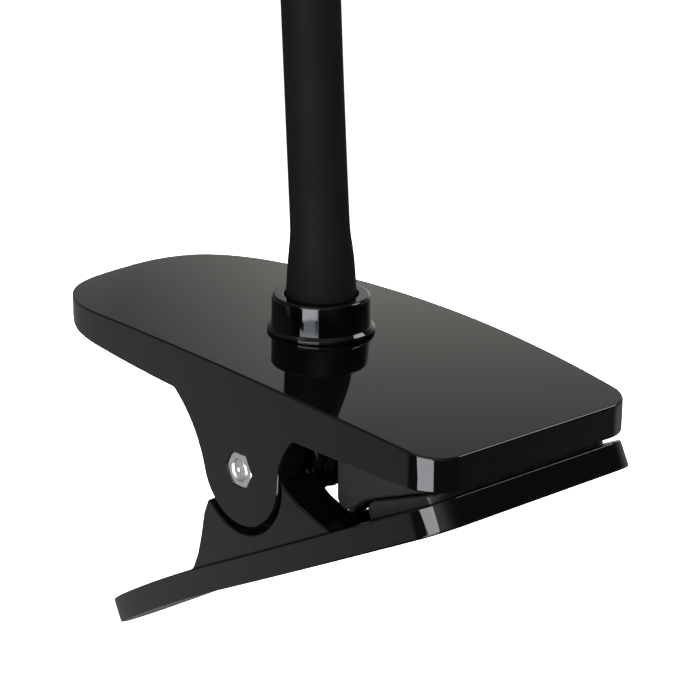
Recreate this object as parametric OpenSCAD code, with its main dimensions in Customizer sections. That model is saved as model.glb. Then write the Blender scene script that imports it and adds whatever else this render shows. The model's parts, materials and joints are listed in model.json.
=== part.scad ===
// Clip-on airbrush holder stand: a sprung clamp for the table edge, a sleeved
// gooseneck and a tilting head with two open cradles for the airbrush.
// Every shape is drawn from the datum, the middle of the collar's seat on the
// deck, and placed() moves it so that the origin is the middle of the jaws' grip.

/* [Clamp jaws] */
// Distance from the datum to the jaws' straight front edge
jaw_front_x = 74.8; // [70:0.2:80]
// Distance from the datum back to the end of the round handle
handle_end_x = 86.4; // [80:0.2:90]
// How far the upper handle's end runs back on its far side, per mm across
handle_sweep = 0.22; // [0:0.02:0.24]
// Half of the greatest width of the upper jaw
jaw_half_w = 35.9; // [34:0.1:38]
// Radius of the two front corners
front_corner_r = 8.5; // [6:0.5:10]
// Wall thickness of both jaw mouldings
wall = 3; // [2.4:0.1:3.2]
// Radius of the deck's arch along its length
deck_arch_r = 691; // [600:1:800]
// Thickness of the lower jaw's slab
lower_slab_t = 6.65; // [6:0.05:8]
// Tilt of the closed lower jaw, in degrees
lower_tilt = 27.7; // [27.5:0.1:28]

/* [Clamp pivot] */
// Pivot axis, forward of the datum
pivot_x = 12.5; // [12:0.1:13]
// Pivot axis, below the datum
pivot_drop = 24.3; // [24:0.1:24.6]
// Radius of the round end of the upper ears
ear_r = 14; // [13:0.1:14]
// Thickness of the upper ears
ear_t = 6.8; // [6.4:0.1:6.8]
// Radius of the pivot bolt's shank
bolt_r = 2.5; // [2.5:0.1:2.5]
// Width of the pivot nut and bolt head across their flats
nut_af = 8; // [8:0.1:8]
// Wire diameter of the jaw spring
spring_wire_d = 3; // [2.6:0.1:3]
// Full turns of the jaw spring
spring_turns = 10; // [8:1:10]

/* [Neck] */
// Outer radius of the rubber sleeve
sleeve_r = 7.15; // [7:0.05:7.3]
// Outer radius of the sleeve's flared foot
sleeve_foot_r = 8.65; // [8.2:0.05:8.7]
// Outer radius of the collar
collar_r = 12.15; // [11.8:0.05:12.4]
// Length of one stretch of the neck, from bend to bend
stretch_len = 42; // [40:1:46]

/* [Airbrush cradles] */
// Radius of the airbrush body that the liners hold
brush_r = 6.1; // [6.1:0.1:6.1]
// Distance between the middles of the two cradles
cradle_gap = 64; // [60:1:66]
// Half of the angle that each cradle is open at the top
mouth_half_angle = 50; // [46:1:52]

/* [Hidden] */
$fn = 96;

gloss_black = [0.03, 0.03, 0.035];
matte_black = [0.07, 0.07, 0.07];
pad_grey = [0.42, 0.42, 0.42];
zinc = [0.75, 0.77, 0.8];
steel = [0.6, 0.61, 0.63];
nylon = [0.85, 0.84, 0.8];
brass = [0.75, 0.6, 0.3];

// Closed jaws meet on a sloping plane; its middle is the origin of the part
grip_x = 62;
grip_z = -17;
grip_slope = 0.4;
pad_gap = 0.4;
pad_inset = 3.6;
pad_end_x = 72;

// Plan outline of the jaws: each side is a shallow parabola
side_mid_x = 6;
side_bow = 0.0009;
handle_start_x = -50;
handle_power = 2 / 3;
sweep_ease = 25;
arch_mid_x = -6.74;
arch_top_z = 0.033;
rim_bottom_z = -11.15;
rim_bottom_tilt = 1.21;
ear_inner_y = 35.8 - ear_t;

// Lower jaw, drawn flat below the pivot and then tilted
lower_top_z = -19.65;
lower_front_x = 59.3;
lower_curl_x = -25;
lower_curl_r = 690;
scoop_r = 15.5;
scoop_mid = [-1.15, -0.25];
lug_r = 11;
lug_inner_y = 24.7;
lug_outer_y = 28.7;
run_gap = 0.05;

// Pivot fasteners
nut_t = 4;
nut_seat_y = 31.6;
head_t = 3.5;
recess_gap = 0.15;
spacer_r = 4.5;
spacer_half_len = 24.4;

// Jaw spring: coil and two legs
coil_r = 8.8;
coil_half_len = 19.5;
coil_step = 20;
upper_leg_angle = 78;
lower_leg_angle = -46;
leg_len = [48, 42];

// Collar stack
deck_boss_bottom = -6.4;
stud_r = 6;
collar_base_z = 1;
collar_floor_z = 3;
collar_top_z = 9.2;
collar_bore_r = 9.1;
socket_top_z = 18;
socket_r = 6.9;
sleeve_foot_z = 4.6;
flare_low_z = 9.5;
flare_high_z = 25;

// Gooseneck: stretches joined by ball and cup bends.
// Lean of each stretch from upright, in degrees towards the handle
lean = [4, 3.5, 1, -4, -10, -16, -22];
core_r = 5.5;
sleeve_bore_r = 5.6;
ball_r = 4.2;
cup_r = 4.3;
ball_neck_r = 2.6;
shoulder_gap = 3.6;
sleeve_gap = 2.3;

// Head, drawn along the last stretch of the neck
ferrule_low = 32;
ferrule_top = 44;
ferrule_r = 8.6;
sleeve_end = 37.8;
core_end = 38.4;
post_r = 3;
post_top = 57.5;
yoke_low = 44.8;
yoke_base_t = 8;
tilt_axis_up = 66;
fork_gap = 6.2;
fork_arm_t = 4.5;
fork_end_r = 8.5;
tongue_half_t = 5.3;

// Holder, drawn from the tilt axis
rail_low_z = 14;
rail_t = 4;
rail_half_w = 8;
rail_half_len = cradle_gap / 2 + 9;
cradle_r = 9.5;
cradle_bore_r = 7.7;
cradle_len = 11;
bore_up = rail_low_z + rail_t + cradle_r + 1;

// Place and shape helpers ------------------------------------------------

module placed() {
    translate([-grip_x, 0, -grip_z]) children();
}

// A flat outline drawn in X and Z, as a slab between two Y values
module slab_xz(y_low, y_high) {
    translate([0, y_high, 0]) rotate([90, 0, 0]) linear_extrude(y_high - y_low) children();
}

// A cylinder along Y between two Y values
module rod_y(r, y_low, y_high) {
    translate([0, y_high, 0]) rotate([90, 0, 0]) cylinder(r = r, h = y_high - y_low);
}

// A hexagonal bar along Y, two flats level
module hex_y(across_flats, y_low, y_high) {
    translate([0, y_high, 0]) rotate([90, 0, 0])
        cylinder(r = across_flats / sqrt(3), h = y_high - y_low, $fn = 6);
}

module both_sides() {
    children();
    mirror([0, 1, 0]) children();
}

module at_pivot() {
    translate([pivot_x, 0, -pivot_drop]) children();
}

module at_lower_jaw() {
    at_pivot() rotate([0, -lower_tilt, 0]) children();
}

// Plan outline of a jaw, drawn with its sides moved inwards by inset
function half_width(x, inset) = jaw_half_w - side_bow * pow(x - side_mid_x, 2) - inset;

function handle_points(inset, steps = 18) = [
    for (i = [0 : steps - 1])
        let (a = 90 * (1 - i / steps),
             reach = handle_end_x - inset + handle_start_x,
             x = handle_start_x - reach * pow(sin(a), handle_power))
        [x, half_width(x, inset) * pow(cos(a), handle_power)]
];

function side_points(inset, front_x, steps = 12) = [
    for (i = [0 : steps])
        let (x = handle_start_x + (front_x - front_corner_r - handle_start_x) * i / steps)
        [x, half_width(x, inset)]
];

function corner_points(inset, front_x, steps = 8) =
    let (r = front_corner_r - inset * 0.6,
         x_mid = front_x - inset - r,
         slope = 2 * side_bow * (x_mid - side_mid_x),
         side_angle = 90 - atan(slope),
         y_mid = half_width(x_mid, inset) - r * sin(side_angle))
    [for (i = [1 : steps]) let (a = side_angle * (1 - i / steps))
        [x_mid + r * cos(a), y_mid + r * sin(a)]];

function half_outline(inset, front_x) =
    concat(handle_points(inset), side_points(inset, front_x), corner_points(inset, front_x));

// A point of the outline, moved back as the swept end of the upper handle is
function swept(p, sweep) =
    let (share = max(0, min(1, (handle_start_x - p[0]) / sweep_ease)))
    [p[0] - sweep * share * p[1], p[1]];

module jaw_outline(inset = 0, front_x = jaw_front_x, sweep = 0) {
    pts = half_outline(inset, front_x);
    last = len(pts) - 1;
    ring = concat(pts, [for (i = [last : -1 : 1]) [pts[i][0], -pts[i][1]]]);
    polygon([for (p = ring) swept(p, sweep)]);
}

// Plan outline of the upper jaw
module upper_plan(inset = 0) {
    jaw_outline(inset, sweep = handle_sweep);
}

// The space under the arched deck, lowered by drop
module under_deck(drop = 0) {
    translate([arch_mid_x, 0, arch_top_z - deck_arch_r])
        rod_y(deck_arch_r - drop, -60, 60, $fn = 720);
}

// Upper jaw ----------------------------------------------------------------

module upper_ear_outline() {
    flank_low = [-30, -35.7];
    flank_r = 30;
    notch_r = 17;
    at_axis = [pivot_x, -pivot_drop];
    translate(at_axis) circle(r = ear_r);
    difference() {
        polygon([[-16, -8], [-16, -14], [-1, -28], [pivot_x, -pivot_drop - 1],
            [pivot_x + ear_r, -pivot_drop], [34, -12], [34, -8]]);
        translate(flank_low) circle(r = flank_r);
        translate(at_axis + [ear_r + notch_r, 0]) circle(r = notch_r);
    }
}

// Deep rim and arched deck, hollow from below
module upper_shell() {
    difference() {
        intersection() {
            translate([0, 0, -20]) linear_extrude(24) upper_plan();
            under_deck();
        }
        intersection() {
            translate([0, 0, -30]) linear_extrude(34) upper_plan(wall);
            under_deck(wall);
        }
        translate([0, 0, rim_bottom_z]) rotate([0, rim_bottom_tilt, 0])
            translate([-120, -60, -30]) cube([240, 120, 30]);
    }
}

// Ribs under the deck and the boss that the neck is bolted through
module deck_ribs() {
    rib_t = 2;
    rib_low = -6.5;
    intersection() {
        union() {
            for (x = [-62, -42, -20, 31]) translate([x - rib_t / 2, -33, rib_low])
                cube([rib_t, 66, 8]);
            for (y = [-15, 15]) translate([-70, y - rib_t / 2, rib_low]) cube([101, rib_t, 8]);
            translate([0, 0, deck_boss_bottom]) cylinder(r = 13, h = 8);
        }
        translate([0, 0, -20]) linear_extrude(24) upper_plan(wall - 0.5);
        under_deck(1);
    }
}

module upper_jaw() {
    color(gloss_black) placed() difference() {
        union() {
            upper_shell();
            deck_ribs();
            both_sides() intersection() {
                slab_xz(ear_inner_y, 38) upper_ear_outline();
                translate([0, 0, -50]) linear_extrude(49) upper_plan();
            }
        }
        translate([0, 0, -20]) cylinder(r = stud_r + 0.1, h = 30);
        at_pivot() rod_y(bolt_r + run_gap, -50, 50);
        at_pivot() both_sides() hex_y(nut_af + 2 * recess_gap, nut_seat_y, 50);
    }
}

module upper_pad() {
    color(pad_grey) placed() intersection() {
        slab_xz(-28, 28) polygon([
            [38.5, -4.9], [38.5, -25.2], [39.4, -26.6], [41.2, -27.3], [43.4, -26.6],
            [47, -23.6], grip_point(51), grip_point(pad_end_x), [pad_end_x, -7.9]
        ]);
        translate([0, 0, -50]) linear_extrude(60) upper_plan(pad_inset);
    }
}

// A point on the upper pad's grip face
function grip_point(x) = [x, grip_z + grip_slope * (x - grip_x)];

// Lower jaw ----------------------------------------------------------------

// Side profile of the slab, with the handle's end curling away; lift raises it
function curl(x) = x < lower_curl_x ? pow(x - lower_curl_x, 2) / (2 * lower_curl_r) : 0;

module slab_profile(low_z, high_z) {
    xs = [for (x = [-110 : 5 : lower_curl_x]) x, 70];
    polygon(concat(
        [for (x = xs) [x, high_z - curl(x)]],
        [for (i = [len(xs) - 1 : -1 : 0]) [xs[i], low_z - curl(xs[i])]]
    ));
}

module lower_plan(low_z, height, inset = 0) {
    translate([-pivot_x, 0, low_z]) linear_extrude(height)
        jaw_outline(inset, lower_front_x + pivot_x);
}

module lower_ear_outline() {
    polygon([[-33.8, -19.9], [-28.8, -16.2], [-24.5, -11.8], [-20.5, -7.1], [-17.1, -4.45],
        [13.4, -5.6], [14.4, -7.9], [16.8, -11.65], [20.3, -15.1], [25.2, -19.65],
        [25.2, -24], [-33.8, -24]]);
}

module lower_jaw() {
    floor_z = lower_top_z - lower_slab_t;
    ear_inset = 0.5;
    rib_t = 2;
    color(gloss_black) placed() at_lower_jaw() difference() {
        union() {
            difference() {
                intersection() {
                    slab_xz(-40, 40) slab_profile(floor_z, lower_top_z);
                    lower_plan(-50, 60);
                }
                intersection() {
                    slab_xz(-40, 40) slab_profile(floor_z + wall, 5);
                    lower_plan(-50, 60, wall);
                }
            }
            intersection() {
                for (x = [-58, -40, 30]) translate([x, -33, floor_z + 1]) cube([rib_t, 66, 4]);
                lower_plan(-50, 60, wall - 0.5);
            }
            both_sides() intersection() {
                slab_xz(lug_inner_y, 40) difference() {
                    lower_ear_outline();
                    translate(scoop_mid) circle(r = scoop_r);
                }
                lower_plan(-50, 60, ear_inset);
            }
            both_sides() slab_xz(lug_inner_y, lug_outer_y) {
                circle(r = lug_r);
                lower_ear_outline();
            }
        }
        rod_y(bolt_r + run_gap, -50, 50);
    }
}

module lower_pad() {
    color(pad_grey) placed() intersection() {
        slab_xz(-28, 28) polygon([
            pad_point(50.4), pad_point(49.2) - [0, 1], [48.9, -24.2], [50.2, -27.6],
            lower_floor_point(43), lower_floor_point(60.4), [pad_end_x + 1.6, -15.6],
            pad_point(pad_end_x + 0.8)
        ]);
        at_lower_jaw() lower_plan(-50, 60, pad_inset);
    }
}

// A point on the lower pad's grip face, clear of the upper pad
function pad_point(x) = grip_point(x) - [0, pad_gap];

// A point just above the floor inside the lower jaw, x measured along the jaw
function lower_floor_point(x) =
    let (z = lower_top_z - lower_slab_t + wall + 0.05)
    [pivot_x + x * cos(lower_tilt) - z * sin(lower_tilt),
     -pivot_drop + x * sin(lower_tilt) + z * cos(lower_tilt)];

// Pivot ---------------------------------------------------------------------

module pivot_bolt() {
    tip_y = -nut_seat_y - nut_t + 0.1;
    color(zinc) placed() at_pivot() {
        rod_y(bolt_r, tip_y + 0.4, nut_seat_y);
        translate([0, tip_y + 0.4, 0]) rotate([90, 0, 0])
            cylinder(r1 = bolt_r, r2 = bolt_r - 0.4, h = 0.4);
        hex_y(nut_af, nut_seat_y, nut_seat_y + head_t);
    }
}

module pivot_nut() {
    color(zinc) placed() at_pivot() difference() {
        hex_y(nut_af, -nut_seat_y - nut_t, -nut_seat_y);
        rod_y(bolt_r + 0.02, -50, 0);
    }
}

module spacer_tube() {
    color(steel) placed() at_pivot() difference() {
        rod_y(spacer_r, -spacer_half_len, spacer_half_len);
        rod_y(bolt_r + run_gap, -50, 50);
    }
}

// Centre line of the spring wire: [radial angle, y, distance out along the leg]
function spring_stations() =
    let (sweep = upper_leg_angle - lower_leg_angle + 360 * spring_turns,
         count = ceil(sweep / coil_step))
    concat(
        [[upper_leg_angle, -coil_half_len, leg_len[0]]],
        [for (i = [0 : count])
            [upper_leg_angle - sweep * i / count, coil_half_len * (2 * i / count - 1), 0]],
        [[upper_leg_angle - sweep, coil_half_len, -leg_len[1]]]
    );

// One ring of the wire's skin; the leg runs along the coil's tangent
function spring_ring(station, sides) =
    let (a = station[0],
         out = [cos(a), 0, sin(a)],
         along = [-sin(a), 0, cos(a)],
         mid = out * coil_r + [0, station[1], 0] + along * station[2])
    [for (k = [0 : sides - 1])
        let (b = 360 * k / sides, w = spring_wire_d / 2)
        mid + out * (w * cos(b)) + [0, w * sin(b), 0]];

module torsion_spring() {
    sides = 8;
    stations = spring_stations();
    rings = len(stations);
    points = [for (s = stations) each spring_ring(s, sides)];
    skin = [for (i = [0 : rings - 2], k = [0 : sides - 1])
        let (a = i * sides + k, b = i * sides + (k + 1) % sides)
        [a, b, b + sides, a + sides]];
    first_cap = [for (k = [sides - 1 : -1 : 0]) k];
    last_cap = [for (k = [0 : sides - 1]) (rings - 1) * sides + k];
    color(matte_black) placed() at_pivot()
        polyhedron(points, concat(skin, [first_cap, last_cap]));
}

// Collar and foot of the neck -----------------------------------------------

module base_washer() {
    color(gloss_black) placed() translate([0, 0, 0.05]) difference() {
        cylinder(r = 13.35, h = collar_base_z - 0.05);
        translate([0, 0, -1]) cylinder(r = stud_r + 0.1, h = 3);
    }
}

module collar() {
    chamfer = 0.8;
    color(gloss_black) placed() difference() {
        union() {
            translate([0, 0, collar_base_z]) cylinder(r = collar_r, h = collar_top_z - chamfer - collar_base_z);
            translate([0, 0, collar_top_z - chamfer])
                cylinder(r1 = collar_r, r2 = collar_r - chamfer, h = chamfer);
        }
        cylinder(r = stud_r + 0.1, h = 20);
        translate([0, 0, collar_floor_z]) cylinder(r = collar_bore_r, h = 20);
    }
}

module neck_socket() {
    flange_r = 8.6;
    flange_top = 4.5;
    stud_low = -14;
    color(steel) placed() difference() {
        union() {
            translate([0, 0, stud_low]) cylinder(r = stud_r, h = flange_top - stud_low);
            translate([0, 0, collar_floor_z]) cylinder(r = flange_r, h = flange_top - collar_floor_z);
            translate([0, 0, collar_floor_z])
                cylinder(r = socket_r, h = socket_top_z - 2 - collar_floor_z);
        }
        translate([0, 0, flange_top + 1.5]) cylinder(r = core_r + 0.02, h = 30);
    }
}

module lock_washer() {
    color(zinc) placed() translate([0, 0, deck_boss_bottom - 1.2]) difference() {
        cylinder(r = 10, h = 1.15);
        translate([0, 0, -1]) cylinder(r = stud_r + 0.1, h = 4);
    }
}

module lock_nut() {
    lock_nut_t = 5;
    lock_nut_af = 18;
    color(zinc) placed() translate([0, 0, deck_boss_bottom - 1.25 - lock_nut_t]) difference() {
        cylinder(r = lock_nut_af / sqrt(3), h = lock_nut_t, $fn = 6);
        translate([0, 0, -1]) cylinder(r = stud_r + 0.02, h = 9);
    }
}

// Gooseneck -----------------------------------------------------------------

// Foot of each stretch: the first starts in the socket, the others at a bend
function neck_point(i) = i == 0
    ? [0, 0, socket_top_z]
    : neck_point(i - 1) + stretch_len * [-sin(lean[i - 1]), 0, cos(lean[i - 1])];

module on_stretch(i) {
    translate(neck_point(i)) rotate([0, -lean[i], 0]) children();
}

// A stretch of conduit; number 1 stands in the socket, number 7 in the ferrule
module neck_core(number) {
    i = number - 1;
    is_last = number == len(lean);
    rod_top = is_last ? core_end : stretch_len - shoulder_gap;
    step = 0.2;
    color(steel) placed() {
        if (number == 1) translate([0, 0, 6.2]) cylinder(r = core_r - step, h = socket_top_z - 4.2);
        on_stretch(i) difference() {
            union() {
                cylinder(r = core_r, h = rod_top);
                if (!is_last) {
                    cylinder(r = ball_neck_r, h = stretch_len);
                    translate([0, 0, stretch_len]) sphere(r = ball_r);
                }
            }
            if (number > 1) sphere(r = cup_r);
        }
    }
}

// Outer radius of the sleeve's flare at height z
function flare_r(z) =
    sleeve_foot_r - (sleeve_foot_r - sleeve_r) * (z - flare_low_z) / (flare_high_z - flare_low_z);

// The flared foot of the sleeve, from the collar up past the socket; its top
// ends inside the wall of the leaning stretch above
module sleeve_foot() {
    top = socket_top_z + 0.9;
    step = 0.3;
    difference() {
        rotate_extrude() polygon([[0, sleeve_foot_z], [sleeve_foot_r, sleeve_foot_z],
            [sleeve_foot_r, flare_low_z], [flare_r(top) - step, top], [0, top]]);
        translate([0, 0, -1]) cylinder(r = sleeve_bore_r + step, h = 40);
        translate([0, 0, -1]) cylinder(r = socket_r + 0.05, h = socket_top_z - 0.9);
    }
}

module neck_sleeve(number) {
    i = number - 1;
    low = number == 1 ? 0 : sleeve_gap;
    high = number == len(lean) ? sleeve_end : stretch_len - sleeve_gap;
    flare_top = flare_high_z - socket_top_z;
    color(matte_black) placed() {
        if (number == 1) sleeve_foot();
        on_stretch(i) difference() {
            union() {
                translate([0, 0, low]) cylinder(r = sleeve_r, h = high - low);
                if (number == 1) cylinder(r1 = flare_r(socket_top_z), r2 = sleeve_r, h = flare_top);
            }
            translate([0, 0, -5]) cylinder(r = sleeve_bore_r, h = 60);
        }
    }
}

// Head ----------------------------------------------------------------------

module on_neck_end() {
    on_stretch(len(lean) - 1) children();
}

module top_ferrule() {
    chamfer = 0.8;
    color(gloss_black) placed() on_neck_end() difference() {
        union() {
            translate([0, 0, ferrule_low]) cylinder(r = ferrule_r, h = ferrule_top - chamfer - ferrule_low);
            translate([0, 0, ferrule_top - chamfer])
                cylinder(r1 = ferrule_r, r2 = ferrule_r - chamfer, h = chamfer);
        }
        translate([0, 0, ferrule_low - 1]) cylinder(r = sleeve_r + 0.03, h = 7);
        translate([0, 0, ferrule_low]) cylinder(r = core_r + 0.1, h = 9.2);
        cylinder(r = post_r + 0.05, h = 60);
    }
}

module swivel_post() {
    head_low = core_end + 0.2;
    head_top = 41.15;
    color(zinc) placed() on_neck_end() {
        translate([0, 0, head_low]) cylinder(r = 5.3, h = head_top - head_low);
        translate([0, 0, head_low]) cylinder(r = post_r, h = post_top - head_low);
    }
}

module swivel_washer() {
    color(nylon) placed() on_neck_end() translate([0, 0, ferrule_top + 0.03]) difference() {
        cylinder(r = 7.6, h = yoke_low - ferrule_top - 0.06);
        translate([0, 0, -1]) cylinder(r = post_r + 0.1, h = 3);
    }
}

module swivel_nut() {
    color(zinc) placed() on_neck_end() translate([0, 0, yoke_low + yoke_base_t + 0.1]) difference() {
        cylinder(r = 9.8 / sqrt(3), h = 4.4, $fn = 6);
        translate([0, 0, -1]) cylinder(r = post_r + 0.02, h = 9);
    }
}

module head_yoke() {
    fork_outer = fork_gap + fork_arm_t;
    color(gloss_black) placed() on_neck_end() difference() {
        union() {
            translate([0, 0, yoke_low]) cylinder(r = fork_outer, h = yoke_base_t);
            both_sides() slab_xz(fork_gap, fork_outer) {
                translate([0, tilt_axis_up]) circle(r = fork_end_r);
                polygon([[-fork_end_r, tilt_axis_up], [fork_end_r, tilt_axis_up],
                    [5.6, yoke_low + 1], [-5.6, yoke_low + 1]]);
            }
        }
        cylinder(r = post_r + run_gap, h = 100);
        translate([0, 0, tilt_axis_up]) rod_y(bolt_r + run_gap, -50, 50);
    }
}

module at_tilt_axis() {
    placed() translate(neck_point(len(lean) - 1)
        + tilt_axis_up * [-sin(lean[len(lean) - 1]), 0, cos(lean[len(lean) - 1])])
        children();
}

module tilt_bolt() {
    head_y = fork_gap + fork_arm_t + 0.05;
    color(zinc) at_tilt_axis() {
        rod_y(bolt_r, -head_y, 20.2);
        rod_y(5, -head_y - 2.2, -head_y);
        rod_y(3.9, -head_y - 3, -head_y - 2.1);
    }
}

module tilt_washers() {
    color(nylon) at_tilt_axis() both_sides() difference() {
        rod_y(7, tongue_half_t + 0.05, fork_gap - 0.05);
        rod_y(bolt_r + 0.1, 0, 20);
    }
}

module tilt_knob() {
    knob_low = 11;
    knob_high = 20;
    lobes = 8;
    color(gloss_black) at_tilt_axis() difference() {
        union() {
            rod_y(10.6, knob_low + 2, knob_high - 1);
            rod_y(9.4, knob_high - 1.1, knob_high);
            rod_y(6.5, knob_low, knob_low + 2.1);
        }
        for (k = [0 : lobes - 1]) rotate([0, (k + 0.5) * 360 / lobes, 0])
            translate([12.4, 0, 0]) rod_y(3.2, knob_low + 1.9, knob_high + 1);
        rod_y(4.02, knob_low - 1, knob_high + 1);
    }
}

module knob_insert() {
    color(brass) at_tilt_axis() difference() {
        rod_y(4, 11.05, 19.6);
        rod_y(bolt_r + run_gap, 0, 30);
    }
}

// Holder --------------------------------------------------------------------

module holder_rail() {
    tongue_r = 8;
    color(gloss_black) at_tilt_axis() difference() {
        union() {
            slab_xz(-tongue_half_t, tongue_half_t) {
                circle(r = tongue_r);
                translate([-tongue_r, 0]) square([2 * tongue_r, rail_low_z + 1]);
            }
            translate([-rail_half_len + rail_half_w, -rail_half_w, rail_low_z])
                cube([2 * (rail_half_len - rail_half_w), 2 * rail_half_w, rail_t]);
            for (side = [-1, 1]) translate([side * (rail_half_len - rail_half_w), 0, rail_low_z])
                cylinder(r = rail_half_w, h = rail_t);
        }
        rod_y(bolt_r + run_gap, -20, 20);
        for (side = [-1, 1]) translate([side * cradle_gap / 2, 0, 0]) cylinder(r = 1.65, h = 40);
    }
}

// A round ring open at the top, with its hole; the axis runs along X
module open_ring(outer, inner, length) {
    reach = 2 * outer;
    rotate([90, 0, 90]) translate([0, 0, -length / 2]) linear_extrude(length) difference() {
        circle(r = outer);
        circle(r = inner);
        polygon([[0, 0], [-reach * sin(mouth_half_angle), reach * cos(mouth_half_angle)],
            [reach * sin(mouth_half_angle), reach * cos(mouth_half_angle)]]);
    }
}

module cradle(side) {
    lip_mid = (cradle_r + cradle_bore_r) / 2;
    color(gloss_black) at_tilt_axis() translate([side * cradle_gap / 2, 0, 0]) difference() {
        union() {
            translate([0, 0, bore_up]) {
                open_ring(cradle_r, cradle_bore_r, cradle_len);
                for (turn = [-1, 1]) rotate([turn * mouth_half_angle, 0, 0])
                    translate([-cradle_len / 2, 0, lip_mid]) rotate([0, 90, 0])
                        cylinder(r = 1.25, h = cradle_len);
            }
            translate([-cradle_len / 2, -6.5, rail_low_z + rail_t + 0.02])
                cube([cradle_len, 13, 4]);
        }
        translate([0, 0, bore_up]) rotate([0, 90, 0]) translate([0, 0, -20])
            cylinder(r = cradle_bore_r, h = 40);
        cylinder(r = 1.5, h = bore_up - cradle_bore_r - 1);
    }
}

module cradle_liner(side) {
    lip_t = 0.8;
    color(matte_black) at_tilt_axis() translate([side * cradle_gap / 2, 0, bore_up]) {
        open_ring(cradle_bore_r - 0.02, brush_r, cradle_len + 0.1);
        for (end = [-1, 1]) translate([end * (cradle_len + lip_t + 0.1) / 2, 0, 0])
            open_ring(8.6, brush_r, lip_t);
    }
}

module front_cradle() {
    cradle(1);
}

module rear_cradle() {
    cradle(-1);
}

module front_liner() {
    cradle_liner(1);
}

module rear_liner() {
    cradle_liner(-1);
}

module cradle_screws() {
    color(zinc) at_tilt_axis() for (side = [-1, 1]) translate([side * cradle_gap / 2, 0, 0]) {
        translate([0, 0, rail_low_z - 0.1]) cylinder(r = 1.48, h = 5.4);
        translate([0, 0, rail_low_z - 2]) cylinder(r = 2.75, h = 1.97);
    }
}

// Nodes ---------------------------------------------------------------------

upper_jaw();
lower_jaw();
upper_pad();
lower_pad();
pivot_bolt();
pivot_nut();
spacer_tube();
torsion_spring();
base_washer();
collar();
neck_socket();
lock_washer();
lock_nut();
neck_core(1);  // neck_core_1
neck_core(2);  // neck_core_2
neck_core(3);  // neck_core_3
neck_core(4);  // neck_core_4
neck_core(5);  // neck_core_5
neck_core(6);  // neck_core_6
neck_core(7);  // neck_core_7
neck_sleeve(1);  // neck_sleeve_1
neck_sleeve(2);  // neck_sleeve_2
neck_sleeve(3);  // neck_sleeve_3
neck_sleeve(4);  // neck_sleeve_4
neck_sleeve(5);  // neck_sleeve_5
neck_sleeve(6);  // neck_sleeve_6
neck_sleeve(7);  // neck_sleeve_7
top_ferrule();
swivel_post();
swivel_washer();
swivel_nut();
head_yoke();
tilt_bolt();
tilt_washers();
tilt_knob();
knob_insert();
holder_rail();
front_cradle();
rear_cradle();
front_liner();
rear_liner();
cradle_screws();
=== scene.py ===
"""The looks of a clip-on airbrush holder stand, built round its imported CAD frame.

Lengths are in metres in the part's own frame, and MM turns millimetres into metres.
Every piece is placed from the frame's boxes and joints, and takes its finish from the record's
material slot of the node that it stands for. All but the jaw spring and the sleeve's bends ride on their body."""

import json
from math import ceil, cos, pi, radians, sin, sqrt, tan

import bmesh
import bpy
from mathutils import Matrix, Vector


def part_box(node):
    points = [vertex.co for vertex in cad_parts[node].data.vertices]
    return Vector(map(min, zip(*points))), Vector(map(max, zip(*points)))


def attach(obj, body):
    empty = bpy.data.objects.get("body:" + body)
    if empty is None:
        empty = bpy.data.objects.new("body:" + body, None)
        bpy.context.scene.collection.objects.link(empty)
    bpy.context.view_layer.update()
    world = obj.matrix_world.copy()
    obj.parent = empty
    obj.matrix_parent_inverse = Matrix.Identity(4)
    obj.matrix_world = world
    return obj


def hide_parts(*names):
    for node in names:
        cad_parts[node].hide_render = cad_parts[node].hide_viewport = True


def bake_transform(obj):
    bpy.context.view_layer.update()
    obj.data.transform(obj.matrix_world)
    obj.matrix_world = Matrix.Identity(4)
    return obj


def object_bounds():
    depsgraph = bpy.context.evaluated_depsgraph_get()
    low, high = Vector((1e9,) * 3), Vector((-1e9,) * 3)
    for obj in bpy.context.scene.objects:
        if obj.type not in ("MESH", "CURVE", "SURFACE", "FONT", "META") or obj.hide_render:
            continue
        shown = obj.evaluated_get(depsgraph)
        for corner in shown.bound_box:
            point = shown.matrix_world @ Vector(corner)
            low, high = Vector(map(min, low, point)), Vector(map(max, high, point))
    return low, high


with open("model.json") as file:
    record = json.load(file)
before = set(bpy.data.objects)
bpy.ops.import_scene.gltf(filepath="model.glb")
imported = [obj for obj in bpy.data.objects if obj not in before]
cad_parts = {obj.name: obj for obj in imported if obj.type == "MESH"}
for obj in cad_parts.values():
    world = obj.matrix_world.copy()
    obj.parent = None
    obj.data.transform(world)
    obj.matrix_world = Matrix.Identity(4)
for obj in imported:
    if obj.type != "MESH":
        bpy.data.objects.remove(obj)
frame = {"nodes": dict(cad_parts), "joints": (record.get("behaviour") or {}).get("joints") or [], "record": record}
cad_low, cad_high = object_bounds()

MM = 0.001
UP = Vector((0, 0, 1))
ACROSS = Vector((0, 1, 0))

scene = bpy.context.scene
record = frame["record"]
joints = {joint["name"]: joint for joint in frame["joints"]}
body_of = {n: body for body, nodes in record["behaviour"]["bodies"].items() for n in nodes}
slot_of = {part["node"]: part["material_slot"] for part in record["subparts"]}


# Places taken from the frame ---------------------------------------------------

def middle(node):
    low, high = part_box(node)
    return (low + high) / 2


def joint_point(name):
    return Vector(joints[name]["pos_m"])


# The datum is the middle of the collar's seat on the deck
datum = middle("base_washer")
datum.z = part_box("base_washer")[0].z - 0.05 * MM
pivot = joint_point("jaw_hinge")
neck_up = Vector(joints["head_swivel"]["axis"]).normalized()
tilt_axis = joint_point("holder_tilt")


def along(direction):
    """A turn that takes the Z axis to a direction, and keeps Y across where it can."""
    z = direction.normalized()
    side = ACROSS if abs(z.dot(ACROSS)) < 0.9 else Vector((1, 0, 0))
    x = side.cross(z).normalized()
    return Matrix((x, z.cross(x), z)).transposed().to_4x4()


def placed(point, direction=UP):
    return Matrix.Translation(point) @ along(direction)


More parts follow.
